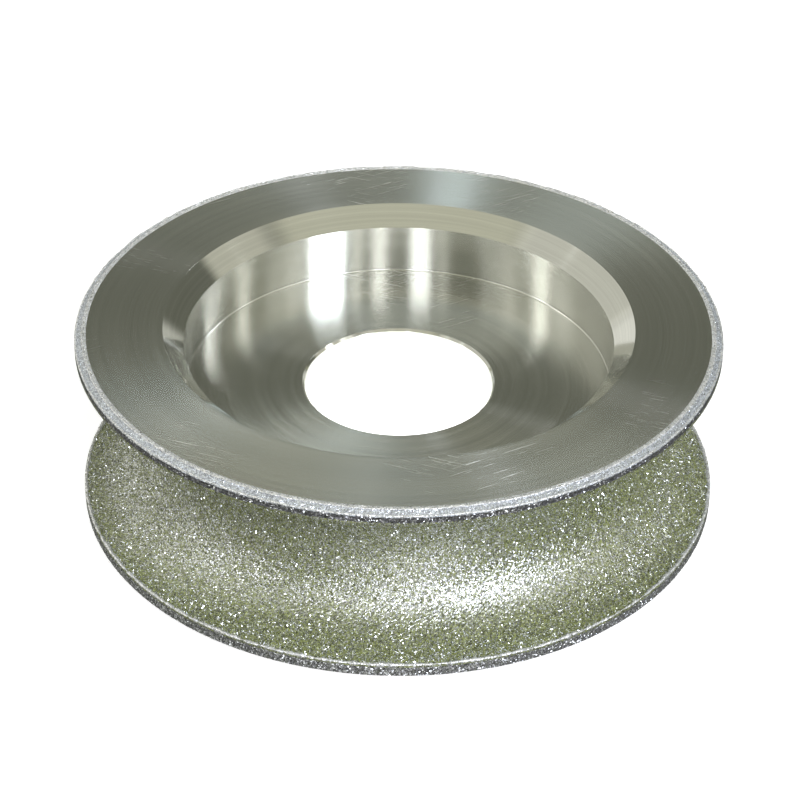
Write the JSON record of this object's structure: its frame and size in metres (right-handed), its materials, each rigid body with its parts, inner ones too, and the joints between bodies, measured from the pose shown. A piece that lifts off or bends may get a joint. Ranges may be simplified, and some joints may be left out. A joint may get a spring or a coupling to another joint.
{
  "type": "diamond grinding wheel",
  "caption": "Turned metal grinding wheel with a half-round groove in its rim coated in nickel-bonded diamond, deep clamping recesses and a central spindle bore.",
  "frame": {"origin": "centre of the underside, on the wheel's axis, where the lower face meets the surface it lies on", "axes": "+Z along the spindle axis, from the underside to the face with the plated bevel; the wheel is round, so +X and +Y are any two radii"},
  "size_m": [0.2032, 0.2032, 0.0605],
  "materials": {
    "turned_steel": "fine-turned bare metal with concentric tool marks",
    "coarse_diamond": "coarse yellow-green diamond grains in nickel",
    "fine_diamond": "finer silver-grey diamond grains in nickel",
    "bright_nickel": "bright bare nickel plate"
  },
  "bodies": {
    "root": {"wheel_body": "turned_steel", "groove_diamond_coat": "coarse_diamond", "upper_lip_diamond_coat": "fine_diamond", "lower_lip_diamond_coat": "fine_diamond", "upper_nickel_margin": "bright_nickel", "lower_nickel_margin": "bright_nickel"}
  },
  "joints": []
}
